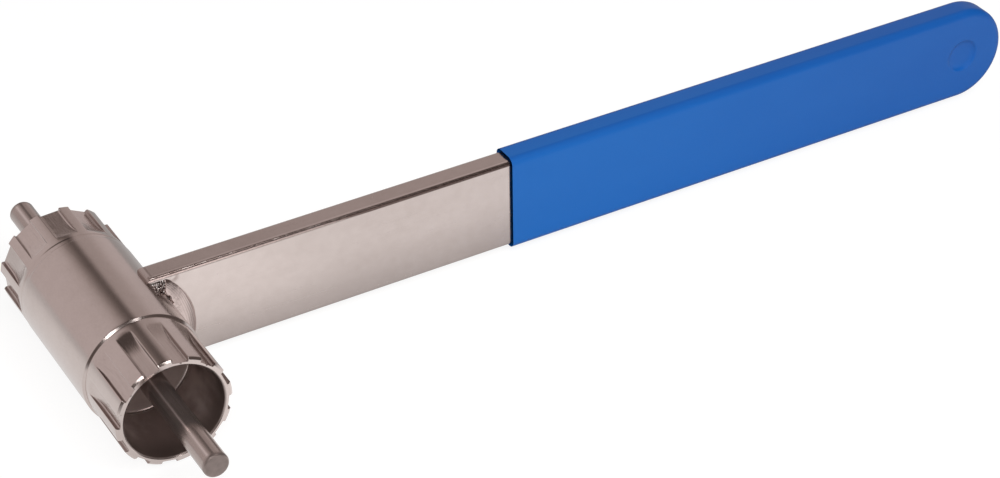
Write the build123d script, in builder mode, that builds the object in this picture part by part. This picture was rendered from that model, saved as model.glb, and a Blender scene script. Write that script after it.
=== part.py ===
"""Cassette lockring tool.

A double-ended splined socket stands across the end of a flat steel bar and is welded to it on
both wide faces. A guide pin is pressed through the socket, and the bar's far end is dipped in
soft plastic for a grip.

The origin is on the socket's axis, in the plane of its front rim. +X runs along the handle, the
socket and its pin lie along Y, and +Z crosses the bar's width. The broad splines are the front
end, which points to -Y, and the narrow teeth are the back end. Stations along the socket are
distances ahead of the front rim, so those of everything behind it are negative.
"""

from build123d import *
import math
import os

# The socket's plain middle, which reaches ahead of the bar's middle plane and behind it, and
# the relief that is turned into it before the back spline
body_diameter = 23.6
body_ahead = 14.7
body_behind = 14.0
neck_length = 1.25
neck_relief = 0.15

# Its front end, with twelve broad ridges for a 22.8 mm spline
front_spline_diameter = 22.8
front_spline_length = 14.1
front_ridges = 12
front_ridge_angle = 4.5
front_groove_width = 3.05
front_groove_depth = 0.9
front_groove_margin = 1.7
front_wall = 0.7
front_bore_depth = 15.2

# Its back end, with twelve narrow teeth for a 23.4 mm spline
back_spline_diameter = 23.4
back_spline_length = 11.0
back_teeth = 12
back_tooth_angle = 18.0
back_groove_width = 4.1
back_groove_depth = 1.0
back_groove_margin = 0.8
back_wall = 0.9
back_bore_depth = 14.5

# The disc cutter that mills every groove, and the broken edges
cutter_radius = 20.0
cutter_corner = 0.3
cutter_overrun = 1.0
rim_chamfer = 0.4
mouth_chamfer = 0.25
bore_floor_chamfer = 0.4

# The guide pin: how far it stands out of each rim, and the step up from its free ends to the
# land that is pressed in
pin_diameter = 5.0
pin_front_reach = 17.6
pin_back_reach = 18.8
pin_end_chamfer = 0.25
pin_land_step = 0.25

# The flat bar of the handle. Its near end has snipped corners and is coped to the socket, and
# before the coping it stops short of the socket's axis by the end distance
bar_width = 20.0
bar_thickness = 5.0
bar_edge_fillet = 1.1
bar_end_distance = 6.3
bar_corner_snip = 1.8
hole_distance = 197.4
hole_diameter = 7.4

# The dipped grip
grip_distance = 85.0
coat_thickness = 0.65
grip_edge_fillet = 1.6
lip_chamfer = 0.25
dimple_depth = 0.9
dimple_rim_chamfer = 0.2

# The weld beads
bead_leg = 4.0
bead_rise = 3.0
bead_crown = 0.35
bead_end_slope = 35.0

# Worked out from the sizes above
body_radius = body_diameter / 2
front_radius = front_spline_diameter / 2
back_radius = back_spline_diameter / 2
pin_radius = pin_diameter / 2
land_radius = pin_radius + pin_land_step
neck_radius = back_radius - neck_relief
front_rim = 0
front_shoulder = front_rim - front_spline_length
body_front = front_shoulder - abs(body_radius - front_radius)
bar_middle = body_front - body_ahead
body_back = bar_middle - body_behind
back_shoulder = body_back - abs(body_radius - neck_radius)
back_neck = back_shoulder - neck_length
back_rim = back_neck - back_spline_length
front_bore_radius = min(front_radius - front_groove_depth, body_radius) - front_wall
back_bore_radius = min(back_radius - back_groove_depth, body_radius) - back_wall
front_floor = front_rim - front_bore_depth
back_floor = back_rim + back_bore_depth
overrun = cutter_corner + cutter_overrun
snip_side = math.sqrt(2) * bar_corner_snip


def groove_section(radius, depth, start, rim):
    """Draws what the disc cutter takes out, seen along its axle: straight in from the rim at
    full depth, then out along its own arc to the start of the groove."""
    onward = math.copysign(1, rim - start)
    floor = radius - depth
    proud = radius + overrun
    run_out = math.sqrt(cutter_radius**2 - (cutter_radius - depth) ** 2)
    lift = math.acos((cutter_radius - depth - overrun) / cutter_radius)
    straight = Line((floor, rim + onward * overrun), (floor, start + onward * run_out))
    arc = CenterArc(
        (floor + cutter_radius, start + onward * run_out),
        cutter_radius,
        180,
        onward * math.degrees(lift),
    )
    Polyline(arc @ 1, (proud, rim + onward * overrun), straight @ 0)


def bevel_the_foot(groove):
    """Bevels the groove's foot on both sides, where the cutter's worn corners run."""
    flanks = groove.faces().filter_by(Axis.Y)
    chamfer(
        flanks.edges().group_by(Axis.X)[0] + flanks.edges().filter_by(GeomType.CIRCLE),
        length=cutter_corner,
    )


# What one pass of the cutter takes at each end, with the socket standing on its back end
with BuildPart() as front_groove:
    with BuildSketch(Plane.XZ):
        with BuildLine():
            groove_section(
                front_radius, front_groove_depth, front_shoulder + front_groove_margin, front_rim
            )
        make_face()
    extrude(amount=front_groove_width / 2, both=True)
    bevel_the_foot(front_groove)

with BuildPart() as back_groove:
    with BuildSketch(Plane.XZ):
        with BuildLine():
            groove_section(
                back_radius, back_groove_depth, back_neck - back_groove_margin, back_rim
            )
        make_face()
    extrude(amount=back_groove_width / 2, both=True)
    bevel_the_foot(back_groove)

# The socket: turned inside and out, then milled. Its working plane looks to the front, and
# the section is drawn on a plane whose x runs outward and whose y runs to the front
section_plane = Plane(origin=(0, 0, 0), x_dir=(1, 0, 0), z_dir=(0, 0, -1))
with BuildPart(Plane.XZ) as socket_body:
    with BuildSketch(section_plane) as section:
        with BuildLine():
            Polyline(
                (land_radius, front_floor),
                (front_bore_radius, front_floor),
                (front_bore_radius, front_rim - mouth_chamfer),
                (front_bore_radius + mouth_chamfer, front_rim),
                (front_radius - rim_chamfer, front_rim),
                (front_radius, front_rim - rim_chamfer),
                (front_radius, front_shoulder),
                (body_radius, body_front),
                (body_radius, body_back),
                (neck_radius, back_shoulder),
                (neck_radius, back_neck + neck_relief),
                (back_radius, back_neck),
                (back_radius, back_rim + rim_chamfer),
                (back_radius - rim_chamfer, back_rim),
                (back_bore_radius + mouth_chamfer, back_rim),
                (back_bore_radius, back_rim + mouth_chamfer),
                (back_bore_radius, back_floor),
                (land_radius, back_floor),
                close=True,
            )
        make_face()
        bore_corners = [
            vertex
            for vertex in section.vertices()
            if -vertex.Y in (front_floor, back_floor) and vertex.X > land_radius
        ]
        chamfer(bore_corners, length=bore_floor_chamfer)
    revolve(axis=Axis.Y)
    with PolarLocations(
        radius=0, count=front_ridges, start_angle=front_ridge_angle + 180 / front_ridges
    ):
        add(front_groove.part, mode=Mode.SUBTRACT)
    with PolarLocations(
        radius=0, count=back_teeth, start_angle=back_tooth_angle + 180 / back_teeth
    ):
        add(back_groove.part, mode=Mode.SUBTRACT)
socket_body.part.label = "socket_body"

# The guide pin. Its land is pressed into the web between the two bores, and its slimmer free
# ends go through the web without touching it
with BuildPart() as guide_pin:
    with BuildSketch(Plane.XZ.offset(back_rim - pin_back_reach)):
        Circle(pin_radius)
    extrude(amount=pin_front_reach + front_rim - back_rim + pin_back_reach)
    chamfer(guide_pin.edges().filter_by(GeomType.CIRCLE), length=pin_end_chamfer)
    with BuildSketch(Plane.XZ.offset(back_floor)):
        Circle(land_radius)
    extrude(amount=front_floor - back_floor)
guide_pin.part.label = "guide_pin"

# The handle's flat bar: round at its far end and coped at the near end. Its edges are rounded
# first, so that the cope and the snipped corners, which a square on each corner takes off at 45
# degrees, keep sharp edges
bar_plane = Plane.XZ.offset(bar_middle)
with BuildPart() as handle_bar:
    with BuildSketch(bar_plane):
        with Locations((hole_distance, 0)):
            Circle(bar_width / 2)
            Rectangle(
                hole_distance - bar_end_distance, bar_width, align=(Align.MAX, Align.CENTER)
            )
    extrude(amount=bar_thickness / 2, both=True)
    outline_edges = handle_bar.faces().filter_by(Axis.Y).edges().filter_by(Axis.Z, reverse=True)
    fillet(outline_edges, radius=bar_edge_fillet)
    with BuildSketch(bar_plane):
        Circle(body_radius)
        with Locations((hole_distance, 0)):
            Circle(hole_diameter / 2)
        with Locations((bar_end_distance, -bar_width / 2), (bar_end_distance, bar_width / 2)):
            Rectangle(snip_side, snip_side, rotation=45)
    extrude(amount=bar_thickness, both=True, mode=Mode.SUBTRACT)
handle_bar.part.label = "handle_bar"

# The dipped grip: a coat of even thickness, which also fills the hanging hole but for a
# shallow dimple on each face
with BuildPart() as dipped_grip:
    with BuildSketch(bar_plane):
        with Locations((hole_distance, 0)):
            Circle(bar_width / 2 + coat_thickness)
            Rectangle(
                hole_distance - grip_distance,
                bar_width + 2 * coat_thickness,
                align=(Align.MAX, Align.CENTER),
            )
    extrude(amount=bar_thickness / 2 + coat_thickness, both=True)
    outline_edges = dipped_grip.faces().filter_by(Axis.Y).edges().filter_by(Axis.Z, reverse=True)
    fillet(outline_edges, radius=grip_edge_fillet)
    chamfer(dipped_grip.faces().sort_by(Axis.X)[0].edges(), length=lip_chamfer)
    add(handle_bar.part, mode=Mode.SUBTRACT)
    dimple_radius = hole_diameter / 2
    ball_radius = (dimple_radius**2 + dimple_depth**2) / (2 * dimple_depth)
    ball_height = bar_thickness / 2 + coat_thickness - dimple_depth + ball_radius
    with Locations(
        (hole_distance, -bar_middle - ball_height, 0), (hole_distance, -bar_middle + ball_height, 0)
    ):
        Sphere(ball_radius, mode=Mode.SUBTRACT)
    dimple_rims = dipped_grip.edges().filter_by(GeomType.CIRCLE).filter_by(
        lambda edge: abs(edge.radius - dimple_radius) < dimple_rim_chamfer
        and abs(edge.center().Y + bar_middle) > bar_thickness / 2
    )
    chamfer(dimple_rims, length=dimple_rim_chamfer)
dipped_grip.part.label = "dipped_grip"

# A fillet weld along the joint of socket and bar, on each wide face of the bar. Each bead is
# turned about the socket's axis, and its ends slope down to the bar's edges
weld_beads = []
for side, label in ((-1, "front_weld_bead"), (1, "back_weld_bead")):
    face = side * bar_thickness / 2 - bar_middle
    toe = (body_radius + bead_leg, face)
    top = (body_radius, face + side * bead_rise)
    slant = math.hypot(bead_leg, bead_rise)
    crest = (
        (toe[0] + top[0]) / 2 + bead_crown * bead_rise / slant,
        (toe[1] + top[1]) / 2 + side * bead_crown * bead_leg / slant,
    )
    with BuildPart() as weld_bead:
        with BuildSketch(Plane.XY):
            with BuildLine():
                Polyline(toe, (body_radius, face), top)
                ThreePointArc(top, crest, toe)
            make_face()
        revolve(axis=Axis.Y)
        with BuildSketch(Plane(origin=(0, face, 0), x_dir=(1, 0, 0), z_dir=(0, side, 0))):
            Rectangle(
                2 * (body_radius + bead_leg + 2 * bead_rise), bar_width - 2 * bar_edge_fillet
            )
        extrude(amount=bead_rise, taper=bead_end_slope, mode=Mode.INTERSECT)
        split(bisect_by=Plane.YZ.offset(body_radius / 2), keep=Keep.TOP)
    weld_bead.part.label = label
    weld_beads.append(weld_bead)

os.makedirs("parts", exist_ok=True)
for piece in (socket_body, guide_pin, handle_bar, dipped_grip, *weld_beads):
    export_step(piece.part, f"parts/{piece.part.label}.step")
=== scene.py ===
# %% [markdown]
# # A cassette lockring tool
#
# The tool is one rigid thing: a short socket with splines at both ends, a guide pin through it, a
# flat steel bar welded across it and a blue dipped grip. The solid model gives every size and
# place. This lesson dresses it: edges that were broken by hand, cutter marks, weld ripples, nickel
# plate and soft vinyl.

import bmesh
import bpy
import numpy as np
from mathutils import Matrix, Vector


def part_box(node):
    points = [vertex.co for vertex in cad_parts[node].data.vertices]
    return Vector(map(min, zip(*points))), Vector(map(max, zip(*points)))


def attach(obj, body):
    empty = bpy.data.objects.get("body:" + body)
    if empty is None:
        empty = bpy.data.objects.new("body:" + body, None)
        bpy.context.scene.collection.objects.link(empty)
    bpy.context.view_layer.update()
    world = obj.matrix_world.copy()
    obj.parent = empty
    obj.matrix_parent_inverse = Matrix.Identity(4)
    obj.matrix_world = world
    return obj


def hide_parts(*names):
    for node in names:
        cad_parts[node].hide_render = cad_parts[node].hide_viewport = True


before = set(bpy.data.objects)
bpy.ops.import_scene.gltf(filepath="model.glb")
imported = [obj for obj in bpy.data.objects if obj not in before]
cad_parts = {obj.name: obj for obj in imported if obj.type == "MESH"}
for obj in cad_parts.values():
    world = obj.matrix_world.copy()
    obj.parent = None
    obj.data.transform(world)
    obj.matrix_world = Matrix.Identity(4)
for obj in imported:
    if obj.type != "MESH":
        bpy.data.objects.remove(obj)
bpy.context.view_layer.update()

print("nodes:", ", ".join(sorted(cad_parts)))

# %% [markdown]
# ## Sizes
#
# Everything stands where the solids say. The large sizes are read from the boxes of the solids,
# and only the small ones that a box can't tell, such as a groove's width, are written here. They
# are millimetres, turned into metres once.

# %% Sizes from the frame
MM = 0.001
socket_low, socket_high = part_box("socket_body")
pin_low, pin_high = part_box("guide_pin")
bar_low, bar_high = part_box("handle_bar")
grip_low, grip_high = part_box("dipped_grip")

front_rim = 0.0
back_rim = socket_high.y
body_radius = socket_high.z
bar_middle = (bar_low.y + bar_high.y) / 2
bar_half_thickness = (bar_high.y - bar_low.y) / 2
bar_half_width = bar_high.z
print(f"socket {back_rim / MM:.1f} mm long, bar {2 * bar_half_width / MM:.1f} mm wide")

# %% [markdown]
# ## The camera
#
# The tool is seen from its front left and from above. The camera is a long lens at that place, so
# that the handle keeps nearly the same width along its whole length.

# %% Camera
camera_place = Vector((-131.474, -351.875, 293.151)) * MM
camera_azimuth, camera_elevation, camera_roll = np.radians((-29.452, 34.666, -0.884))


def camera_axes(azimuth, elevation, roll):
    """The camera's right, up and backward directions. Backward comes from the azimuth and the
    elevation, right stays level and up is square to both; the roll then turns right and up."""
    back = Vector(
        (
            np.sin(azimuth) * np.cos(elevation),
            -np.cos(azimuth) * np.cos(elevation),
            np.sin(elevation),
        )
    )
    level = Vector((np.cos(azimuth), np.sin(azimuth), 0))
    upright = back.cross(level)
    right = np.cos(roll) * level + np.sin(roll) * upright
    up = np.cos(roll) * upright - np.sin(roll) * level
    return right, up, back


lens = bpy.data.cameras.new("camera")
lens.sensor_width = 36
lens.lens = 95.01
camera = bpy.data.objects.new("camera", lens)
axes = Matrix(camera_axes(camera_azimuth, camera_elevation, camera_roll)).transposed()
camera.matrix_world = Matrix.Translation(camera_place) @ axes.to_4x4()
bpy.context.scene.collection.objects.link(camera)
bpy.context.scene.camera = camera
print("camera at", tuple(round(value, 3) for value in camera_place))

# %% [markdown]
# ## Surfaces from grids of points
#
# Every new piece here is one skin: a grid of points, rows by columns, in which each cell is a face.
# Numpy works out all the points at once from two parameters, which is faster than adding them one
# by one and keeps the formula in sight. Where points fall together, as at a pole or a seam, they
# are merged.

# %% Skin of a grid
MERGE_DISTANCE = 0.0008 * MM


def skin(name, points, across=True, along=True, marks=None):
    """The mesh of a grid of points. The grid closes across when its last column joins its first,
    and along when its last row joins its first. Marks are values from 0 to 1 on each point, which
    a finish can read by their names."""
    rows, columns = points.shape[:2]
    corner = np.arange(rows * columns).reshape(rows, columns)
    if along:
        corner = np.vstack([corner, corner[:1]])
    if across:
        corner = np.hstack([corner, corner[:, :1]])
    cells = np.stack([corner[:-1, :-1], corner[1:, :-1], corner[1:, 1:], corner[:-1, 1:]], -1)
    mesh = bpy.data.meshes.new(name)
    mesh.from_pydata(points.reshape(-1, 3).tolist(), [], cells.reshape(-1, 4).tolist())
    for mark, values in (marks or {}).items():
        layer = mesh.attributes.new(mark, "FLOAT", "POINT")
        layer.data.foreach_set("value", np.broadcast_to(values, (rows, columns)).ravel())
    work = bmesh.new()
    work.from_mesh(mesh)
    bmesh.ops.remove_doubles(work, verts=work.verts, dist=MERGE_DISTANCE)
    bmesh.ops.recalc_face_normals(work, faces=work.faces)
    work.to_mesh(mesh)
    work.free()
    mesh.shade_smooth()
    return mesh


def seat(mesh, node, finish):
    """Puts a finished mesh in place of a solid of the frame. Flat faces keep their own normals
    against the narrow ones of a rounded edge, because larger faces weigh more."""
    piece = bpy.data.objects.new(mesh.name, mesh)
    bpy.context.scene.collection.objects.link(piece)
    weighted = piece.modifiers.new("weighted normals", "WEIGHTED_NORMAL")
    weighted.mode = "FACE_AREA"
    weighted.keep_sharp = False
    mesh.materials.append(finish)
    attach(piece, "root")
    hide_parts(node)
    triangles = sum(len(face.vertices) - 2 for face in mesh.polygons)
    print(f"{mesh.name}: {len(mesh.vertices)} points, {triangles} triangles")


print(f"points closer than {MERGE_DISTANCE * 1e9:.0f} nm are merged")

# %% [markdown]
# ## Outlines with rounded corners
#
# Turned and ground things rarely have a sharp corner: the lathe tool has a nose, and tumbling and
# plating soften every rim. So an outline is written with sharp corners and a radius for each, and a
# helper puts in the arcs. A bevel modifier could round the finished mesh, but it would work on all
# the edges alike, and here each corner keeps a radius of its own.

# %% Outlines with rounded corners
def rounded(corners, radii, steps=4):
    """A path of straight runs with every corner turned into an arc that is tangent to both runs.
    The arc's centre lies on the corner's bisector at radius / sin(half angle). The path is closed:
    its last corner joins its first."""
    corners = np.asarray(corners, float)
    before = np.roll(corners, 1, 0) - corners
    after = np.roll(corners, -1, 0) - corners
    before /= np.linalg.norm(before, axis=1)[:, None]
    after /= np.linalg.norm(after, axis=1)[:, None]
    half = np.arccos(np.clip((before * after).sum(1), -1, 1)) / 2
    radii = np.broadcast_to(np.asarray(radii, float), half.shape)
    bisector = before + after
    bisector /= np.linalg.norm(bisector, axis=1)[:, None]
    centre = corners + bisector * (radii / np.sin(half))[:, None]
    tangent = (radii / np.tan(half))[:, None]
    first = corners + before * tangent - centre
    last = corners + after * tangent - centre
    share = np.linspace(0, 1, steps + 1)[None, :, None]
    turn = np.pi - 2 * half[:, None, None]
    arc = np.sin((1 - share) * turn) * first[:, None] + np.sin(share * turn) * last[:, None]
    return (centre[:, None] + arc / np.sin(turn)).reshape(-1, 2)


def spaced(path, gap):
    """The same closed path with points added on its long runs, so that no two are further apart
    than the gap."""
    ends = np.vstack([path, path[:1]])
    runs = np.linalg.norm(np.diff(ends, axis=0), axis=1)
    counts = np.maximum(1, np.ceil(runs / gap)).astype(int)
    start = np.repeat(ends[:-1], counts, 0)
    step = np.repeat(np.diff(ends, axis=0) / counts[:, None], counts, 0)
    number = np.arange(counts.sum()) - np.repeat(np.cumsum(counts) - counts, counts)
    return start + step * number[:, None]


square = rounded([(0, 0), (2, 0), (2, 2), (0, 2)], 0.5)
print(f"a rounded square has {len(square)} points, spaced out {len(spaced(square, 0.1))}")

# %% [markdown]
# ## Sums on sockets
#
# A finish is a small calculation: stretch the object's coordinates, read a noise there, scale it
# and add it to something else. Written as nodes one by one, that is hard to read. The two classes
# below let the same sums be written as Python expressions.

# %% Sockets that can be added and multiplied
class Value:
    """One output of a finish's nodes. A sum of two of them adds the Math node that works it out."""

    def __init__(self, finish, socket):
        self.finish = finish
        self.socket = socket

    def sum(self, operation, *values, clamp=False):
        settings = {"operation": operation, "use_clamp": clamp}
        return self.finish.node("ShaderNodeMath", settings, dict(enumerate(values)))

    def __add__(self, other):
        return self.sum("ADD", self, other)

    def __sub__(self, other):
        return self.sum("SUBTRACT", self, other)

    def __rsub__(self, other):
        return self.sum("SUBTRACT", other, self)

    def __mul__(self, other):
        return self.sum("MULTIPLY", self, other)

    def __truediv__(self, other):
        return self.sum("DIVIDE", self, other)

    def clamped(self):
        return self.sum("ADD", self, 0.0, clamp=True)

    __radd__ = __add__
    __rmul__ = __mul__


class Finish:
    """A material's node tree, with one method that adds any node to it."""

    def __init__(self, tree):
        self.tree = tree
        self.tree.nodes.clear()

    def node(self, kind, settings=None, sockets=None, output=0):
        """Adds a node: its settings first, then its sockets' values or links."""
        made = self.tree.nodes.new(kind)
        for name, value in (settings or {}).items():
            setattr(made, name, value)
        for name, value in (sockets or {}).items():
            if isinstance(value, Value):
                self.tree.links.new(value.socket, made.inputs[name])
            else:
                made.inputs[name].default_value = value
        return Value(self, made.outputs[output]) if made.outputs else None

    def place(self, stretch=(1, 1, 1)):
        """The object's own coordinates, in metres, times a number for each axis."""
        place = self.node("ShaderNodeTexCoord", output="Object")
        settings = {"operation": "MULTIPLY"}
        return self.node("ShaderNodeVectorMath", settings, {0: place, 1: stretch})

    def noise(self, stretch, detail=2.0, roughness=0.5):
        """A noise from 0 to 1 that changes once in 1 / stretch metres along each axis."""
        sockets = {
            "Vector": self.place(stretch),
            "Scale": 1.0,
            "Detail": detail,
            "Roughness": roughness,
        }
        return self.node("ShaderNodeTexNoise", {}, sockets)

    def above(self, value, low, high):
        """0 below the low value, 1 above the high one and a smooth rise between."""
        sockets = {"Value": value, "From Min": low, "From Max": high}
        settings = {"interpolation_type": "SMOOTHSTEP"}
        return self.node("ShaderNodeMapRange", settings, sockets)

    def mark(self, name):
        """A value that was written on the points of the mesh."""
        settings = {"attribute_name": name}
        return self.node("ShaderNodeAttribute", settings, output="Fac")

    def colour(self, share, first, second):
        """The first colour where the share is 0, the second where it is 1."""
        first = first if isinstance(first, Value) else (*first, 1)
        second = second if isinstance(second, Value) else (*second, 1)
        sockets = {"Factor": share, 6: first, 7: second}
        return self.node("ShaderNodeMix", {"data_type": "RGBA"}, sockets, output=2)

    def axes(self, names, vector=None):
        """Some parts of a vector, each as a value. Without one, of the object's coordinates."""
        sockets = {"Vector": vector or self.place()}
        return [self.node("ShaderNodeSeparateXYZ", {}, sockets, output=name) for name in names]

    def bump(self, height, metres):
        """Turns a height from 0 to 1 into a tilt of the surface, as if it were that many metres
        high."""
        sockets = {"Distance": metres, "Height": height}
        return self.node("ShaderNodeBump", {}, sockets)

    def surface(self, sockets):
        """The one shader that the finish ends in."""
        shader = self.node("ShaderNodeBsdfPrincipled", {}, sockets)
        self.node("ShaderNodeOutputMaterial", {}, {"Surface": shader})


def finish_named(name):
    """A new material and the finish that fills it."""
    material = bpy.data.materials.new(name)
    material.use_nodes = True
    return material, Finish(material.node_tree)


finishes = {}


def keep(piece, material):
    """Remembers the finish of a piece until the piece is made."""
    finishes[piece] = material
    print(f"{material.name}: {len(material.node_tree.nodes)} nodes")


print("finishes can be written as sums")

# %% [markdown]
# ## Nickel plate
#
# The socket was turned on a lathe, its grooves were milled with a disc cutter, and the whole tool
# was then tumbled and plated with nickel. Plate is thin, so the marks of each tool show through
# it. The lathe leaves rings round the axis, the cutter leaves lines along its groove, and the
# tumbling leaves an even satin. The bores were only drilled and took little plate, so they are
# darker, most of all at the mouth. A painted highlight runs along the upper left wall of each bore:
# one bright line, which the pin shows as a bright reflection. The upright groove walls get a
# painted shade.
# A picture could be laid over the metal instead, but noises in the object's own coordinates need no
# picture and stay sharp from near by. The mesh says where it was milled or bored, as marks.

# %% Finish of the turned and milled socket
NICKEL_LIGHT = (0.68, 0.595, 0.57)
NICKEL_DARK = (0.55, 0.47, 0.44)
BORE_TINT = (0.41, 0.32, 0.295)
STAIN_AND_SHADE = (0.21, 0.15, 0.135)
MOUTH_STAIN = (0.11, 0.08, 0.07)
# A painted highlight colour, for the bright line along each bore's wall that the pin reflects.
PAINTED_LINE_BRIGHT = (0.95, 0.87, 0.85)
mouth_start, mouth_end = 1 * MM, 8 * MM
front_floor = 15.2 * MM
web_start, web_end = front_floor - 0.5 * MM, front_floor - 0.1 * MM


def turned_plate():
    """Bright plate outside, stained walls inside. Both start from a cloud and a finer mottle."""
    material, finish = finish_named("turned_nickel_plate")
    milled = finish.mark("milled")
    bored = finish.mark("bored")
    painted_bright_line = finish.mark("painted_bright_line")
    upright = finish.mark("upright")
    rings = finish.noise((60, 7000, 60), 3.0)
    lines = finish.noise((5200, 90, 5200), 3.0, 0.65)
    satin = finish.noise((1500, 1500, 1500), 3.0)
    cloud = finish.noise((110, 60, 110), 3.0)
    mottle = finish.noise((420, 300, 420), 3.0)
    grain = finish.noise((2400, 1500, 2400), 2.0)
    height = (1 - milled) * rings * 0.3 + milled * lines * 4.5 + satin * 0.2 + bored * satin
    plate = finish.colour(0.4 * cloud + 0.4 * mottle + 0.4 * grain, NICKEL_LIGHT, NICKEL_DARK)
    scored = milled * finish.above(lines, 0.5, 0.75) * 0.15
    # The upright groove walls get a painted shade in the stain colour, and the cutter's scores a
    # little.
    plate = finish.colour((scored + 0.55 * upright).clamped(), plate, STAIN_AND_SHADE)
    stained = finish.above(0.7 * cloud + 0.3 * mottle, 0.36, 0.62)
    walls = finish.colour(stained, BORE_TINT, STAIN_AND_SHADE)
    (depth,) = finish.axes("Y")
    inside = finish.above(depth, mouth_start, mouth_end)
    walls = finish.colour(0.9 - 0.9 * inside, walls, MOUTH_STAIN)
    walls = finish.colour(0.45 * finish.above(depth, web_start, web_end), walls, NICKEL_DARK)
    # The painted highlight line along each bore's upper left wall.
    walls = finish.colour(painted_bright_line, walls, PAINTED_LINE_BRIGHT)
    finish.surface(
        {
            "Base Color": finish.colour(bored, plate, walls),
            "Metallic": 1 - 0.55 * bored - 0.45 * painted_bright_line,
            "Roughness": 0.13 + 0.06 * cloud + 0.04 * satin + 0.22 * bored,
            "Normal": finish.bump(height, 0.006 * MM),
        }
    )
    return material


keep("socket", turned_plate())

# %% [markdown]
# ## Ground steel
#
# The pin was ground to its size between wheels, which leaves rings too fine to see one by one and
# streaks along it. A lighter line along its upper left side is a painted highlight. Its ends were
# sawn, so they are darker and duller. The line and the ends are marks on the mesh, because they
# belong to places on the pin, and the rest is noise.

# %% Finish of the ground pin
PIN_TINT = (0.46, 0.385, 0.36)
PIN_SHADE = (0.42, 0.35, 0.325)
SAWN_TINT = (0.22, 0.183, 0.17)
SAWN_LIGHT = (0.38, 0.31, 0.29)


def ground_steel():
    """Steel under the painted highlight line and the sawn ends, which the mesh marks."""
    material, finish = finish_named("ground_pin_steel")
    rings = finish.noise((90, 9000, 90), 2.0)
    streaks = finish.noise((1400, 40, 1400), 2.0)
    mottle = finish.noise((700, 350, 700), 3.0)
    sawn = finish.mark("sawn")
    line = finish.mark("painted_highlight")
    steel = finish.colour(mottle, PIN_TINT, PIN_SHADE)
    # A painted highlight: a lighter line along the pin's upper left side.
    steel = finish.colour(line, steel, NICKEL_LIGHT)
    cut = finish.colour(mottle, SAWN_TINT, SAWN_LIGHT)
    finish.surface(
        {
            "Base Color": finish.colour(sawn, steel, cut),
            "Metallic": 0.86,
            "Roughness": 0.13 + 0.08 * streaks + 0.35 * sawn,
            "Normal": finish.bump(rings * 0.6 + streaks * 0.4 + mottle * sawn * 3, 0.004 * MM),
        }
    )
    return material


keep("pin", ground_steel())

# %% [markdown]
# ## Plate over a rolled bar
#
# The plate is painted darker along the upper front edge, a painted reflection of the dark room, and
# that band reaches further down the wide face towards the grip. The snipped corner beside the
# socket gets a painted shade. A little soot from the welding shows beside the upper end of the
# front weld.
# Each is a share from 0 to 1, worked out from the coordinates, and the shares add up to one dark.

# %% Finish of the flat bar
SOOT_PLACE = (12.4 * MM, bar_low.y, 8.7 * MM)
SOOT_CORE, SOOT_REACH = 0.3 * MM, 1.5 * MM
arris_shade_start, arris_shade_end = 9.45 * MM, 9.75 * MM
arris_shade_spread = 0.45 * MM
arris_shade_depth = bar_low.y + 1.0 * MM
spread_start, spread_end = 40 * MM, 55 * MM
snip_plane = -1.6 * MM


def rolled_plate():
    """The plate is even, with an orange peel, fine pits and scratches along it."""
    material, finish = finish_named("rolled_nickel_plate")
    pits = finish.above(finish.noise((2300, 2300, 2300), 2.0), 0.62, 0.72)
    orange_peel = finish.noise((900, 900, 900), 3.0, 0.6)
    scratches = finish.above(finish.noise((35, 2600, 2600), 2.0), 0.6, 0.75)
    cloud = finish.noise((60, 90, 160), 4.0)
    mottle = finish.noise((500, 500, 500), 3.0)
    away = {0: finish.place(), 1: SOOT_PLACE}
    away = finish.node("ShaderNodeVectorMath", {"operation": "DISTANCE"}, away, output="Value")
    soot = (1 - finish.above(away, SOOT_CORE, SOOT_REACH)) * finish.above(mottle, 0.3, 0.6)
    plate = finish.colour(0.5 * cloud + 0.5 * mottle, NICKEL_LIGHT, NICKEL_DARK)
    x, y, z = finish.axes("XYZ")
    spread = finish.above(x, spread_start, spread_end)
    # A painted reflection of the dark room along the upper front edge, lower and wider towards the
    # grip.
    below = z - (arris_shade_start - arris_shade_spread * spread)
    arris_shade = finish.above(below, 0, 0.15 * MM)
    arris_shade = arris_shade * (1 - finish.above(z, arris_shade_end, arris_shade_end + 0.15 * MM))
    arris_shade = arris_shade * (1 - finish.above(y, arris_shade_depth, arris_shade_depth + 0.3 * MM))
    band_breakup = 1 - 0.5 * finish.above(mottle, 0.5, 0.6) * (1 - spread)
    # A painted shade on the snipped corner where the bar meets the socket.
    snip_shade = 1 - finish.above(x - z, snip_plane, snip_plane + 0.2 * MM)
    # Soot, the painted reflection and the painted shade, as one darkening.
    dark = (0.6 * soot + 0.85 * arris_shade * band_breakup + 0.3 * snip_shade).clamped()
    finish.surface(
        {
            "Base Color": finish.colour(dark, plate, STAIN_AND_SHADE),
            "Metallic": 1.0,
            "Roughness": 0.17 + 0.08 * cloud + 0.05 * pits + 0.06 * scratches,
            "Normal": finish.bump(orange_peel - 0.15 * pits - 0.3 * scratches, 0.01 * MM),
        }
    )
    return material


keep("bar", rolled_plate())

# %% [markdown]
# ## Plated weld metal
#
# Weld metal is rougher than the bar and holds soot between its ripples, which darkens the plate.
# Where the welder stopped, the pool shrank to a crater with a crust of bright and black grains. The
# ripples and the crater are shapes of the mesh, which also marks where they are, so that the
# colours follow the shapes.

# %% Finish of the weld
WELD_PLATE = (0.67, 0.55, 0.52)
WELD_SOOT = (0.26, 0.21, 0.19)
CRUST_BRIGHT = (0.93, 0.88, 0.86)
CRUST_BLACK = (0.13, 0.1, 0.09)


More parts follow.
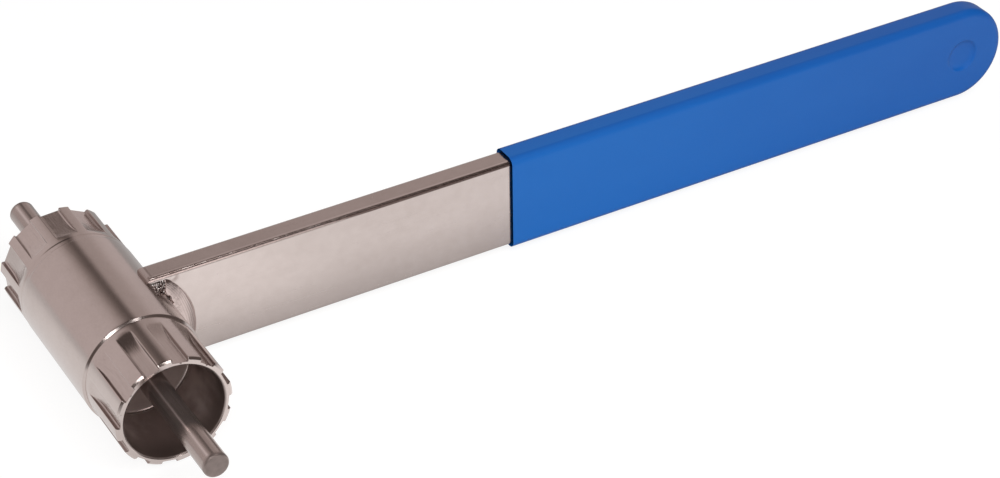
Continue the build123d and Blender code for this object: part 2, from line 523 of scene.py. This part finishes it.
def plated_weld():
    """Plate with soot where the mesh or a scorch says so, and a crust of two kinds of grain."""
    material, finish = finish_named("plated_weld_metal")
    grain = finish.noise((1900, 1900, 1900), 4.0, 0.6)
    scorch = finish.noise((420, 420, 420), 3.0)
    soot = (finish.mark("soot") + 0.25 * scorch).clamped()
    plate = finish.colour(soot, WELD_PLATE, WELD_SOOT)
    crust = finish.colour(finish.above(grain, 0.46, 0.54), CRUST_BRIGHT, CRUST_BLACK)
    finish.surface(
        {
            "Base Color": finish.colour(finish.mark("crater"), plate, crust),
            "Metallic": 1.0,
            "Roughness": 0.11 + 0.16 * scorch,
            "Normal": finish.bump(grain, 0.03 * MM),
        }
    )
    return material


keep("weld", plated_weld())

# %% [markdown]
# ## Dipped vinyl
#
# The coat is soft vinyl with half a gloss. The bar hung with its end down while the coat ran, so
# the blue is deeper towards the end. The rounded edges and the narrow sides get a painted shade in
# the deeper blue. One share from 0 to 1 mixes two blues.

# %% Finish of the dipped grip
VINYL_BLUE = (0.004, 0.147, 0.54)
VINYL_DEEP_AND_SHADE = (0.004, 0.105, 0.44)


def dipped_vinyl():
    """The blue deepens along the grip and in soft clouds, and the edges that the mesh marks get a
    painted shade.
    """
    material, finish = finish_named("dipped_blue_vinyl")
    cloud = finish.noise((45, 120, 120), 3.0)
    (along,) = finish.axes("X")
    deep_and_shade = 0.7 * finish.above(along, grip_low.x, grip_high.x) + 0.25 * cloud
    # The marked edges get a painted shade in the deeper blue.
    deep_and_shade = (deep_and_shade + 0.7 * finish.mark("edge")).clamped()
    skin_grain = finish.noise((1100, 1100, 1100), 3.0)
    finish.surface(
        {
            "Base Color": finish.colour(deep_and_shade, VINYL_BLUE, VINYL_DEEP_AND_SHADE),
            "Roughness": 0.36 + 0.1 * cloud,
            "Specular IOR Level": 0.33,
            "Normal": finish.bump(skin_grain, 0.008 * MM),
        }
    )
    return material


keep("grip", dipped_vinyl())

# %% [markdown]
# ## The socket
#
# The real one is turned from bar, bored from both ends and then milled: a disc cutter of 20 mm
# radius runs in from the rim and leaves each groove with a floor that climbs out along the disc's
# own arc. Here the same order makes it. The turned outline is a closed path of stations and radii,
# and each of its points becomes one ring. Each ring is a circle from which twelve grooves are cut,
# down to the floor that the disc reached at that station. Booleans would cut the same grooves, but
# they leave long thin faces on which a polished finish shows every crease.

# %% Turned outline of the socket
front_radius = 11.4 * MM
back_radius = 11.7 * MM
bore_radius = 9.8 * MM
front_shoulder = 14.1 * MM
body_front = 14.5 * MM
body_back = 43.2 * MM
neck_radius = 11.65 * MM
neck_front = 43.55 * MM
neck_back = 44.45 * MM
back_shoulder = 44.75 * MM
back_floor = 41.2 * MM
land_radius = pin_high.x
rim_chamfer = 0.4 * MM
mouth_chamfer = 0.33 * MM

socket_corners = [
    (front_floor, land_radius, 0.02),
    (front_floor, bore_radius, 0.5),
    (front_rim + mouth_chamfer, bore_radius, 0.06),
    (front_rim, bore_radius + mouth_chamfer, 0.06),
    (front_rim, front_radius - rim_chamfer, 0.08),
    (front_rim + rim_chamfer, front_radius, 0.1),
    (front_shoulder, front_radius, 0.1),
    (body_front, body_radius, 0.14),
    (body_back, body_radius, 0.3),
    (neck_front, neck_radius, 0.3),
    (neck_back, neck_radius, 0.3),
    (back_shoulder, back_radius, 0.3),
    (back_rim - rim_chamfer, back_radius, 0.1),
    (back_rim, back_radius - rim_chamfer, 0.08),
    (back_rim, bore_radius + mouth_chamfer, 0.06),
    (back_rim - mouth_chamfer, bore_radius, 0.06),
    (back_floor, bore_radius, 0.5),
    (back_floor, land_radius, 0.02),
]
outline = rounded([corner[:2] for corner in socket_corners], [c[2] * MM for c in socket_corners])
outline = spaced(outline, 0.7 * MM)
station, turned_radius = outline.T
print(f"the outline has {len(outline)} rings")

# %% [markdown]
# ## The grooves of the socket
#
# A disc cutter leaves three traces: a level floor, a run-out that is part of the disc's own circle,
# and a foot where its rounded corner ran. The front end has wide grooves between broad ridges, the
# back end wider ones between narrow teeth. The size of a groove changes from one to the other along
# the plain middle, where nothing is cut and so nothing shows.

# %% The disc cutter's floor
cutter_radius = 20 * MM
front_groove = {"floor": 10.5 * MM, "start": 12.4 * MM, "half_width": 1.525 * MM, "phase": 19.5}
back_groove = {"floor": 10.7 * MM, "start": 45.5 * MM, "half_width": 2.05 * MM, "phase": 33.0}


def groove_floor(station, groove, radius, onward):
    """How far from the axis the disc cuts at each station. The floor is level from the rim to
    the place where the disc stopped; beyond it, the floor rises along the disc's own circle."""
    depth = radius - groove["floor"]
    run_out = np.sqrt(cutter_radius**2 - (cutter_radius - depth) ** 2)
    past = np.clip(onward * (station - groove["start"]) + run_out, 0, 0.999 * cutter_radius)
    return groove["floor"] + cutter_radius - np.sqrt(cutter_radius**2 - past**2)


front_share = np.clip((body_back - station) / (body_back - body_front), 0, 1)
floor_radius = np.where(
    front_share > 0.5,
    groove_floor(station, front_groove, front_radius, 1),
    groove_floor(station, back_groove, back_radius, -1),
)
half_width, phase = (
    front_share * front_groove[key] + (1 - front_share) * back_groove[key]
    for key in ("half_width", "phase")
)
half_angle = np.degrees(np.arcsin(front_groove["half_width"] / front_radius))
print(f"half a front groove spans {half_angle:.1f} degrees of the rim")

# %% Half a groove and half a ridge
GROOVES = 12
FOOT_RADIUS = 0.35 * MM
BROKEN_EDGE = 0.1 * MM
FULL_WALL = 0.3 * MM


def half_pitch(radius, floor, half_width):
    """Half of one groove and half of the ridge beside it, seen along the axis, as outward and
    sideways distances from the groove's middle line. In order: the flat floor, the foot that the
    disc's rounded corner left, the upright wall, the broken edge on top and the turned ridge. The
    foot and the edge shrink with the wall, so that where the groove runs out they vanish. The
    third value is 1 on the upright walls: on 4 of the 20 points, and half on their neighbours."""
    radius, floor, half_width = (value[:, None] for value in (radius, floor, half_width))
    top = np.sqrt(radius**2 - np.minimum(half_width, 0.9 * radius) ** 2)
    wall = np.clip(top - floor, 0, None)
    foot = np.minimum(FOOT_RADIUS, 0.45 * wall)
    edge = np.minimum(BROKEN_EDGE, 0.45 * wall)
    quarter = np.linspace(0, np.pi / 2, 5)[None]
    floor_across = (half_width - foot) * np.linspace(0, 1, 5)[None, :-1]
    foot_across = half_width - foot + foot * np.sin(quarter)
    foot_out = floor + foot * (1 - np.cos(quarter))
    edge_across = half_width + edge * (1 - np.cos(quarter))
    edge_out = top - edge * (1 - np.sin(quarter)) - edge * half_width / radius
    across = np.hstack([floor_across, foot_across, edge_across])
    out = np.hstack([floor + 0 * floor_across, foot_out, edge_out])
    out = np.minimum(out, np.sqrt(np.clip(radius**2 - across**2, 0, None)))
    start = np.arcsin(np.minimum((half_width + edge) / radius, 0.9))
    ridge = start + (np.pi / GROOVES - start) * np.linspace(0, 1, 7)[None, 1:]
    across = np.hstack([across, radius * np.sin(ridge)])
    upright = np.concatenate([np.zeros(6), [0.5, 1, 1, 1, 1, 0.5], np.zeros(8)])[None]
    upright = upright * np.clip(wall / FULL_WALL, 0, 1)
    return np.hstack([out, radius * np.cos(ridge)]), across, upright


half_out, half_across, half_upright = half_pitch(turned_radius, floor_radius, half_width)
print(f"half a pitch has {half_across.shape[1]} points on each ring")

# %% Twelve grooves round each ring
def socket_points():
    """Rings of the socket, one for each point of its turned outline. Half a pitch is mirrored to
    a whole one and turned twelve times round the axis, from the groove's phase angle."""
    upright = np.hstack([half_upright[:, :0:-1], half_upright])[:, :-1]
    upright = np.tile(upright, (1, GROOVES))
    out = np.hstack([half_out[:, :0:-1], half_out])[:, :-1]
    across = np.hstack([-half_across[:, :0:-1], half_across])[:, :-1]
    turn = np.radians(phase)[:, None] + 2 * np.pi * np.arange(GROOVES) / GROOVES
    turn = turn[:, :, None]
    x = out[:, None] * np.cos(turn) - across[:, None] * np.sin(turn)
    z = out[:, None] * np.sin(turn) + across[:, None] * np.cos(turn)
    x, z = x.reshape(len(x), -1), z.reshape(len(z), -1)
    return np.stack([x, np.broadcast_to(station[:, None], x.shape), z], -1), upright


ring_points, upright = socket_points()
print(f"the socket has {ring_points.shape[0]} rings of {ring_points.shape[1]} points")

# %% [markdown]
# ## Marks for the socket's finish
#
# The finish has to know which tool shaped each point. It could test the coordinates itself, but
# the grid already knows: a point under the turned surface was milled, and one inside the bore's
# radius was bored. These shares are written on the mesh as marks, with two more for painted light:
# a painted shade on the upright groove walls and a painted highlight line along the upper left wall
# of each bore. The corner of each bore counts as bored only a little, so it keeps the bright
# plate's
# colour and gloss: a painted highlight, which draws a thin bright ring there.

# %% Mark the socket and seat it
BRIGHT_LINE_ANGLE = np.radians(121)
BRIGHT_LINE_REACH = np.radians(6)
MILLED_DEPTH = 0.05 * MM
BORE_MARGIN, BORE_BLEND = 0.1 * MM, 0.08 * MM
CORNER_REACH, CORNER_HIGHLIGHT_BORED = 0.45 * MM, 0.15

cut_depth = turned_radius[:, None] - np.hypot(ring_points[..., 0], ring_points[..., 2])
milled = np.clip(cut_depth / MILLED_DEPTH, 0, 1)
bored = np.clip((bore_radius + BORE_MARGIN - turned_radius) / BORE_BLEND, 0, 1)[:, None]
from_floor = np.minimum(abs(station - front_floor), abs(station - back_floor))
from_wall = turned_radius - bore_radius
in_corner = (from_wall > -CORNER_REACH) & (from_wall < BORE_MARGIN) & (from_floor < CORNER_REACH)
# The corner ring keeps the bright plate's colour and gloss: a painted highlight.
bored = bored * np.where(in_corner, CORNER_HIGHLIGHT_BORED, 1)[:, None]
point_angle = np.arctan2(ring_points[..., 2], ring_points[..., 0])
# A painted highlight line along each bore's upper left wall, for the pin to reflect.
painted_bright_line = bored * np.exp(-(((point_angle - BRIGHT_LINE_ANGLE) / BRIGHT_LINE_REACH) ** 2))
socket_marks = {"milled": milled, "bored": bored, "painted_bright_line": painted_bright_line, "upright": upright}
socket_mesh = skin("socket", ring_points, marks=socket_marks)
seat(socket_mesh, "socket_body", finishes["socket"])

# %% [markdown]
# ## The guide pin
#
# The pin is a ground rod, sawn to length and tumbled, so its ends are dull and their edges round.
# It is an outline turned round the Y axis, as the socket is, with only the wider land in its
# middle, which the web between the bores hides. A cylinder with a bevel would look the same, but
# the outline also carries the marks of the saw and of the painted highlight line.

# %% Turn the pin
def turned(name, corners, angle, marks=None):
    """A solid of revolution round the Y axis: each point of the closed outline of stations and
    radii becomes a ring with a point at every angle."""
    station, radius = corners[:, :1], corners[:, 1:]
    x, z = radius * np.cos(angle), radius * np.sin(angle)
    return skin(name, np.stack([x, station + 0 * x, z], -1), along=False, marks=marks)


pin_radius = 2.5 * MM
pin_corners = np.array(
    [
        (pin_low.y, 0),
        (pin_low.y, pin_radius),
        (front_floor, pin_radius),
        (front_floor, land_radius),
        (back_floor, land_radius),
        (back_floor, pin_radius),
        (pin_high.y, pin_radius),
        (pin_high.y, 0),
    ]
)
pin_rounds = np.array([0.001, 0.45, 0.001, 0.02, 0.02, 0.001, 0.45, 0.001]) * MM
pin_outline = spaced(rounded(pin_corners, pin_rounds, steps=6), 0.6 * MM)
pin_outline = pin_outline[np.argmin(np.hypot(*(pin_outline - pin_corners[0]).T)) :]
pin_outline = pin_outline[: np.argmin(np.hypot(*(pin_outline - pin_corners[-1]).T)) + 1]
pin_outline[[0, -1], 1] = 0
pin_angle = np.linspace(0, 2 * np.pi, 120, endpoint=False)[None]
print(f"the pin has {len(pin_outline)} rings of {pin_angle.size} points")

# %% Mark the pin and seat it
HIGHLIGHT_LINE_ANGLE = np.radians(118)
HIGHLIGHT_LINE_REACH = np.radians(6)
SAWN_RADIUS, SAWN_BLEND = pin_radius - 0.05 * MM, 0.3 * MM
DULL_SHARE, DULL_REACH, DULL_BLEND = 0.7, 0.9 * MM, 0.4 * MM

sawn = np.clip((SAWN_RADIUS - pin_outline[:, 1:]) / SAWN_BLEND, 0, 1)
from_end = np.minimum(pin_outline[:, :1] - pin_low.y, pin_high.y - pin_outline[:, :1])
sawn = np.maximum(sawn, DULL_SHARE * np.clip((DULL_REACH - from_end) / DULL_BLEND, 0, 1))
# A painted highlight along the pin's upper left side, away from the sawn ends.
painted_highlight = np.exp(-(((pin_angle - HIGHLIGHT_LINE_ANGLE) / HIGHLIGHT_LINE_REACH) ** 2)) * (1 - sawn)
pin_mesh = turned("guide_rod", pin_outline, pin_angle, {"sawn": sawn, "painted_highlight": painted_highlight})
seat(pin_mesh, "guide_pin", finishes["pin"])

# %% [markdown]
# ## The flat bar
#
# The bar is a length of flat stock with rolled edges, coped at one end to seat on the socket. The
# solid already has that form, and a mesh made anew would only repeat it, so the solid stays and
# takes a finish.

# %% Dress the bar
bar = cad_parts["handle_bar"]
bar.data.materials.clear()
bar.data.materials.append(finishes["bar"])
print(f"bar: {len(bar.data.polygons)} faces of the solid kept")

# %% [markdown]
# ## The grip
#
# The bar's end was dipped in liquid vinyl and baked. The coat rounds every edge, ends in a
# straight lip, and sinks a little where it bridges the hanging hole. A thick shell could be grown
# from the bar with a solidify modifier, but the soft edges and the dimples need finer points than
# the bar has. So the skin is a profile across the bar's thickness, carried along the bar's middle
# line: along the lower side, round the end and back along the upper side. It stays open at the lip,
# where the bar goes in.

# %% Profile of the grip
grip_start = grip_low.x
grip_half_width = grip_high.z
grip_half_thickness = (grip_high.y - grip_low.y) / 2
hole_place = grip_high.x - grip_half_width
grip_edge = 1.6 * MM


def grip_profile():
    """From the middle of the near face out over the rounded edge to the middle of the far face:
    the distance from the middle line as a share of the half width's flat part, plus a fixed part
    in the edge, and the place across the thickness."""
    flat = np.concatenate([np.linspace(0, 0.5, 22)[:-1], np.linspace(0.5, 1, 12)])
    quarter = np.linspace(0, np.pi / 2, 9)[1:]
    straight = np.linspace(-1, 1, 5)[1:-1] * (grip_half_thickness - grip_edge)
    share = np.concatenate([flat, np.ones(2 * len(quarter) + len(straight)), flat[::-1]])
    rise = grip_edge * np.sin(quarter)
    lift = grip_half_thickness - grip_edge + grip_edge * np.cos(quarter)
    side_rise = np.full(len(straight), grip_edge)
    extra = np.concatenate([0 * flat, rise, side_rise, rise[::-1], 0 * flat])
    side = -np.ones(len(flat)) * grip_half_thickness
    place = np.concatenate([side, -lift, straight, lift[::-1], -side])
    return share, extra, place


profile_share, profile_extra, profile_place = grip_profile()
print(f"the grip's profile has {len(profile_share)} points")

# %% Path round the grip's end
def grip_path():
    """Points of the middle line and the outward direction at each, from the lip along the lower
    side, round the end and back along the upper side to the lip."""
    near_lip = 1.2 * MM
    near = hole_place - np.geomspace(0.15 * MM, hole_place - grip_start - near_lip, 60)
    lip = grip_start + np.linspace(0, 1.1, 8) * MM
    run = np.concatenate([lip, near[::-1]])
    angle = np.linspace(-np.pi / 2, np.pi / 2, 73)
    along = np.concatenate([run, np.full(len(angle), hole_place), run[::-1]])
    down = np.full(len(run), -np.pi / 2)
    turn = np.concatenate([down, angle, -down])
    return along[:, None], turn[:, None]


path_along, path_turn = grip_path()
print(f"the profile stands at {len(path_along)} places along the grip")

# %% Skin of the grip
DIMPLE_RADIUS = 3.7 * MM
DIMPLE_DEPTH = 0.6 * MM
SIDE_SHADE = 0.2


def dimple(distance):
    """How far the vinyl sinks over the hole at a distance from its middle. The high power keeps
    the floor nearly flat and makes the wall steep."""
    share = np.clip(distance / DIMPLE_RADIUS, 0, 1)
    return DIMPLE_DEPTH * (1 - share**7)


def grip_points():
    """The profile at every place of the path, with a dimple over the hole on each face."""
    reach = profile_share * (grip_half_width - grip_edge) + profile_extra
    x = path_along + reach * np.cos(path_turn)
    z = reach * np.sin(path_turn)
    distance = np.hypot(x - hole_place, z)
    y = profile_place * (1 - dimple(distance) / grip_half_thickness)
    return np.stack([x, bar_middle + y, z], -1)


# The mark edge is a painted shade: it rises over the rounded edges and stays low on the narrow
# sides.
on_edge = profile_extra < grip_edge
grip_marks = {"edge": np.where(on_edge, profile_extra / grip_edge, SIDE_SHADE)[None]}
grip_mesh = skin("grip_coat", grip_points(), across=False, along=False, marks=grip_marks)
seat(grip_mesh, "dipped_grip", finishes["grip"])

# %% [markdown]
# ## The weld beads
#
# A welder laid one fillet on each wide face, round the socket. The bead's section is a triangle
# with a slightly full face, and its ends run out before the bar's edges. The pool was hot and wide
# below and small above, where the welder stopped, so the toe stands nearer to the socket there. A
# plain fillet could be roughened by a displace modifier, but its noise wouldn't follow the pool. So
# the bead's height over the bar's face is worked out, as a function of the share of the way from
# the socket to the toe and of the angle round the socket.

# %% How far the toe stands
bead_leg = 4.3 * MM
toe_slope, toe_bend, toe_sink = 2.2 * MM, 1.0 * MM, 6.4 * MM


def bead_width(angle):
    """How far the toe stands from the socket: less towards the end where the welder stopped,
    above, than towards the end where the pool was hot and ran wide."""
    wide = bead_leg - toe_slope * np.sin(angle) - toe_bend * np.sin(angle) ** 2
    below = np.clip(-angle - 0.35, 0, None)
    wobble = 0.02 * MM * np.sin(23 * angle) + 0.012 * MM * np.sin(41 * angle + 1)
    return wide - toe_sink * below**2 + wobble


for place, angle in (("above", 0.6), ("in the middle", 0.0), ("below", -0.6)):
    print(f"{place}, the toe stands {bead_width(angle) / MM:.1f} mm from the socket")

# %% [markdown]
# ## Ripples and a crater
#
# The pool froze in steps, which left arcs across the bead. Where the welder lifted the torch it
# shrank, and left a crumpled crater with a trench round it. Both are measured in the same share and
# angle as the height, so they follow the pool, and both are written on the mesh for the finish.

# %% Ripples and crater
def bead_ripple(share, angle):
    """Where the pool froze in steps: arcs that follow its edge, closer and deeper to the toe."""
    pool = 46 * share**1.5 + 5 * np.cos(2 * angle) + np.sin(9 * angle)
    return np.sin(pool) * np.clip(2 * share - 0.4, 0, 1)


def bead_crater(share, angle):
    """1 in the crumpled crater where the welder stopped, 0 elsewhere: a narrow strip beside the
    socket that widens towards the upper end."""
    across = share * bead_width(angle)
    upper = np.clip((angle - 0.56) / 0.2, 0, 1)
    wide = 0.45 * MM + 1.9 * MM * upper**2 * (3 - 2 * upper)
    wide = wide + 0.12 * MM * np.sin(31 * angle) + 0.08 * MM * np.sin(57 * angle)
    begun = np.clip((angle - 0.33) / 0.06, 0, 1)
    return begun * np.clip((wide - across) / (0.22 * MM), 0, 1)


above, middle = bead_crater(0.05, 0.7), bead_crater(0.05, 0.0)
print(f"the crater's share beside the socket is {above:.0f} above and {middle:.0f} in the middle")

# %% Height of the bead
bead_rise = 3.0 * MM
bead_low_rise = 0.5 * MM
bead_least_rise = 0.06 * MM
bead_half_length = 8.9 * MM
bead_run_out, bead_upper_run_out = 3.4 * MM, 0.7 * MM
bead_top_angle = np.radians(49)
face_fullness = 0.24 * MM
ripple_height = 0.012 * MM
crumple_height, trench_depth = 0.26, 1.2


def bead_height(share, angle, radius):
    """The bead falls from the socket to its toe with a full face. It is lowest where the welder
    stopped and grows from there to its whole rise. Ripples cross the face as arcs that follow the
    pool's edge. The crater's floor is crumpled, and a trench parts it from the smooth face."""
    grown = np.clip((bead_top_angle - angle) / (bead_top_angle + 0.2), 0, 1) ** 1.5
    rise = bead_low_rise + (bead_rise - bead_low_rise) * grown
    height = rise * (1 - share) + (face_fullness + 0.1 * rise) * 4 * share * (1 - share)
    run_out = np.where(angle > 0, bead_upper_run_out, bead_run_out)
    end = np.clip((bead_half_length - np.abs(radius * np.sin(angle))) / run_out, 0, 1)
    end = np.sin(end * np.pi / 2) ** 0.9
    ripple = ripple_height * bead_ripple(share, angle) * np.sin(np.pi * share)
    x, z = radius * np.cos(angle), radius * np.sin(angle)
    folds = np.abs(np.sin((5.1 * x + 2.3 * z) / MM)) + np.abs(np.sin((4.3 * z - 2.7 * x) / MM + 1))
    crumple = 1 - folds + 0.6 * np.abs(np.sin((9 * z + 5 * x) / MM + 2))
    crater = bead_crater(share, angle)
    rough_floor = (crumple_height * crumple * crater - trench_depth * crater * (1 - crater)) * MM
    toe = np.clip((1 - share) / 0.16, 0, 1)
    height = np.clip(height + ripple + rough_floor, bead_least_rise, None)
    return height * end * toe**2 * (3 - 2 * toe)


bead_bottom = bead_height(0.0, -0.6, body_radius)
print(f"beside the socket and below, the bead stands {bead_bottom / MM:.1f} mm above the bar")

# %% Lay the beads
LAP = 0.02 * MM
SINK = 0.01 * MM


def bead_angles(share):
    """The grid's angles: it reaches as far round the socket as the bead is long, so the angle of
    the last point follows from the toe's distance there, found by a few repeats."""
    turn = np.linspace(-1, 1, 330)[None]
    angle = 0.7 * turn
    for _ in range(9):
        angle = turn * np.arcsin(bead_half_length / (body_radius + share * bead_width(angle)))
    return angle


def bead_points(side):
    """The face and the hidden base of a bead, as two layers of one grid of the share of the way
    from the socket to the toe by the angle round the socket, and the marks for the finish: the
    soot between the ripples and the crusty crater. The bead laps a little into its neighbours, so
    that no gap opens between them."""
    share = np.linspace(0, 1, 84)[:, None]
    angle = bead_angles(share)
    radius = body_radius - LAP + share * bead_width(angle)
    height = bead_height(share, angle, radius)
    x, z = radius * np.cos(angle), radius * np.sin(angle)
    face = bar_middle + side * (bar_half_thickness - SINK)
    top = np.stack([x, face + side * height, z], -1)
    base = np.stack([x, face + 0 * height, z], -1)
    soot = 0.4 * np.clip(-bead_ripple(share, angle), 0, 1)
    marks = {"soot": soot, "crater": bead_crater(share, angle)}
    marks = {name: np.concatenate([mark, mark[::-1]]) for name, mark in marks.items()}
    return np.concatenate([top, base[::-1]]), marks


for side, node in ((-1, "front_weld_bead"), (1, "back_weld_bead")):
    points, bead_marks = bead_points(side)
    name = node.replace("_weld_bead", "_fillet_weld")
    bead_mesh = skin(name, points, across=False, marks=bead_marks)
    seat(bead_mesh, node, finishes["weld"])

# %% [markdown]
# ## The floor
#
# The tool lies on white paper. Polished metal shows what stands round it, so the floor matters as
# much as the lamps: it gives the broad pale reflections. A plain white plane would be easier, but
# then the shadow or the white would be wrong. So the paper is a mixture of a lit surface and one
# that gives its own light, and it answers the camera and the polished metal differently.

# %% Floor
FLOOR_REACH = 3.0
floor_height = socket_low.z - 0.02 * MM
floor_mesh = bpy.data.meshes.new("floor")
floor_corners = [(-1, -1), (1, -1), (1, 1), (-1, 1)]
floor_mesh.from_pydata(
    [(x * FLOOR_REACH, y * FLOOR_REACH, floor_height) for x, y in floor_corners], [], [(0, 1, 2, 3)]
)
floor = bpy.data.objects.new("floor", floor_mesh)
bpy.context.scene.collection.objects.link(floor)


def pale_floor():
    """White paper. What the camera and the polished metal see of it is mostly an even white, with
    enough of the lit paper left in it to keep the tool's shadow. In reflections it is darker well
    in front of the tool and far behind it, brighter beside the socket and shaded behind the bar.
    All these limits are places on the floor, in metres: right is X and back is Y."""
    material, finish = finish_named("pale_floor")
    camera_ray = finish.node("ShaderNodeLightPath", output="Is Camera Ray")
    glossy_ray = finish.node("ShaderNodeLightPath", output="Is Glossy Ray")
    clear_ray = finish.node("ShaderNodeLightPath", output="Is Transmission Ray")
    seen = (camera_ray + clear_ray).clamped()
    right, back = finish.axes("XY")
    near = finish.above(back, -0.075, -0.02)
    far = finish.above(back + 0.25 * right, 0.04, 0.16)
    beside = finish.above(right, -0.01, 0.025) * (1 - 0.55 * finish.above(right, 0.03, 0.06))
    beside = beside * (1 - finish.above(back, 0.012, 0.03))
    shade = finish.above(right, 0.008, 0.022) * finish.above(back, 0.005, 0.03)
    mirrored = (0.3 + 0.66 * near) * (1 - 0.28 * far) * (1 + 0.37 * beside) * (1 - 0.46 * shade)
    strength = seen * 1.16 + (1 - seen) * mirrored
    paper = finish.node("ShaderNodeBsdfDiffuse", {}, {"Color": (0.8, 0.79, 0.78, 1)})
    white = finish.node("ShaderNodeEmission", {}, {"Color": (1, 1, 1, 1), "Strength": strength})
    share = 0.75 * (seen + glossy_ray).clamped()
    mixed = finish.node("ShaderNodeMixShader", {}, {0: share, 1: paper, 2: white})
    finish.node("ShaderNodeOutputMaterial", {}, {"Surface": mixed})
    return material


floor_mesh.materials.append(pale_floor())
print("floor at", round(floor_height / MM, 2), "mm")

# %% [markdown]
# ## The lamps
#
# Two soft boxes stand over the front of the tool, one narrow to the right and one broad to the
# left. They draw the bright bands along the socket, the pin and the grip. A broad fill lamp lifts
# the shadow. It would blot out those bands in the plate, so reflections don't show it.

# %% Soft boxes
LAMP_DISTANCE = 1.2


def soft_box(name, direction, width, height, radiance):
    """A rectangular lamp at a fixed distance from the socket, turned to look at it. Its power
    follows from how bright its face is: radiance times pi times its area."""
    lamp = bpy.data.lights.new(name, "AREA")
    lamp.shape = "RECTANGLE"
    lamp.size = width
    lamp.size_y = height
    lamp.energy = radiance * np.pi * width * height
    box = bpy.data.objects.new(name, lamp)
    direction = Vector(direction).normalized()
    box.location = Vector((0, bar_middle, 0)) + direction * LAMP_DISTANCE
    box.rotation_euler = direction.to_track_quat("Z", "Y").to_euler()
    bpy.context.scene.collection.objects.link(box)
    print(f"{name}: {lamp.energy:.1f} W")
    return box


soft_box("right_strip_box", (0.25, -0.6, 0.76), 0.16, 0.22, 5.5)
soft_box("left_soft_box", (-0.35, -0.65, 0.67), 0.46, 0.3, 5.5)
fill = soft_box("fill_box", (0.05, -0.62, 0.78), 0.9, 0.9, 3.5)
fill.visible_glossy = False

# %% [markdown]
# ## The grey room
#
# The rest of what the metal shows is the room. Grey walls give the middle tones, and one dark gap
# between two panels behind the tool draws the soft dark line along the socket. The walls could be
# planes round the tool, but a world that is worked out from the direction needs no mesh, and each
# of its edges can be as soft as it has to be.

# %% The grey room
def grey_room():
    """The world's light by direction. Behind the tool stand pale panels with a dark gap between
    them. Overhead and in front the room is dark, but for a pale strip over the bar and a small
    window in front. Whatever looks at the background itself sees white. The darker a part of the
    room is, the warmer its grey."""
    world = bpy.data.worlds.new("grey_room")
    world.use_nodes = True
    bpy.context.scene.world = world
    room = Finish(world.node_tree)
    x, y, z = room.axes("XYZ", room.node("ShaderNodeTexCoord", output="Generated"))
    behind = room.above(y - 0.35 * x, 0.0, 0.62)
    gap = room.above(x, -0.16, 0.2) * room.above(z, 0.0, 0.15)
    gap = gap * (1 - 0.68 * room.above(x, 0.18, 0.3) - 0.32 * room.above(x, 0.42, 0.62))
    left_of_bar = 1 - room.above(x, 0.1, 0.34)
    overhead = room.above(z, 0.58, 0.85) * left_of_bar
    over_bar = room.above(z, 0.7, 0.86) * (1 - left_of_bar) * room.above(y, -0.4, -0.1)
    window = (1 - room.above(x, 0.3, 0.36)) * room.above(x, -0.3, 0.0)
    window = window * room.above(-1 * y, 0.86, 0.93)
    panels = (0.12 + 0.53 * behind) * (1 - 0.82 * gap * behind) * (1 - 0.9 * overhead * behind)
    panels = panels * (1 - 0.5 * room.above(z, 0.84, 0.9) * left_of_bar)
    panels = panels + 0.5 * over_bar * (1 - behind) + 1.6 * window
    warm, plain = (1, 0.8, 0.73), (1, 0.9, 0.885)
    tint = room.colour(panels / 0.65, warm, plain)
    grey = room.node("ShaderNodeBackground", {}, {"Color": tint, "Strength": panels})
    white = room.node("ShaderNodeBackground", {}, {"Color": (1, 1, 1, 1), "Strength": 1.0})
    seen = room.node("ShaderNodeLightPath", output="Is Camera Ray")
    mixed = room.node("ShaderNodeMixShader", {}, {0: seen, 1: grey, 2: white})
    room.node("ShaderNodeOutputWorld", {}, {"Surface": mixed})


grey_room()
bpy.context.scene.view_settings.view_transform = "Standard"
print("the world has", len(bpy.context.scene.world.node_tree.nodes), "nodes")
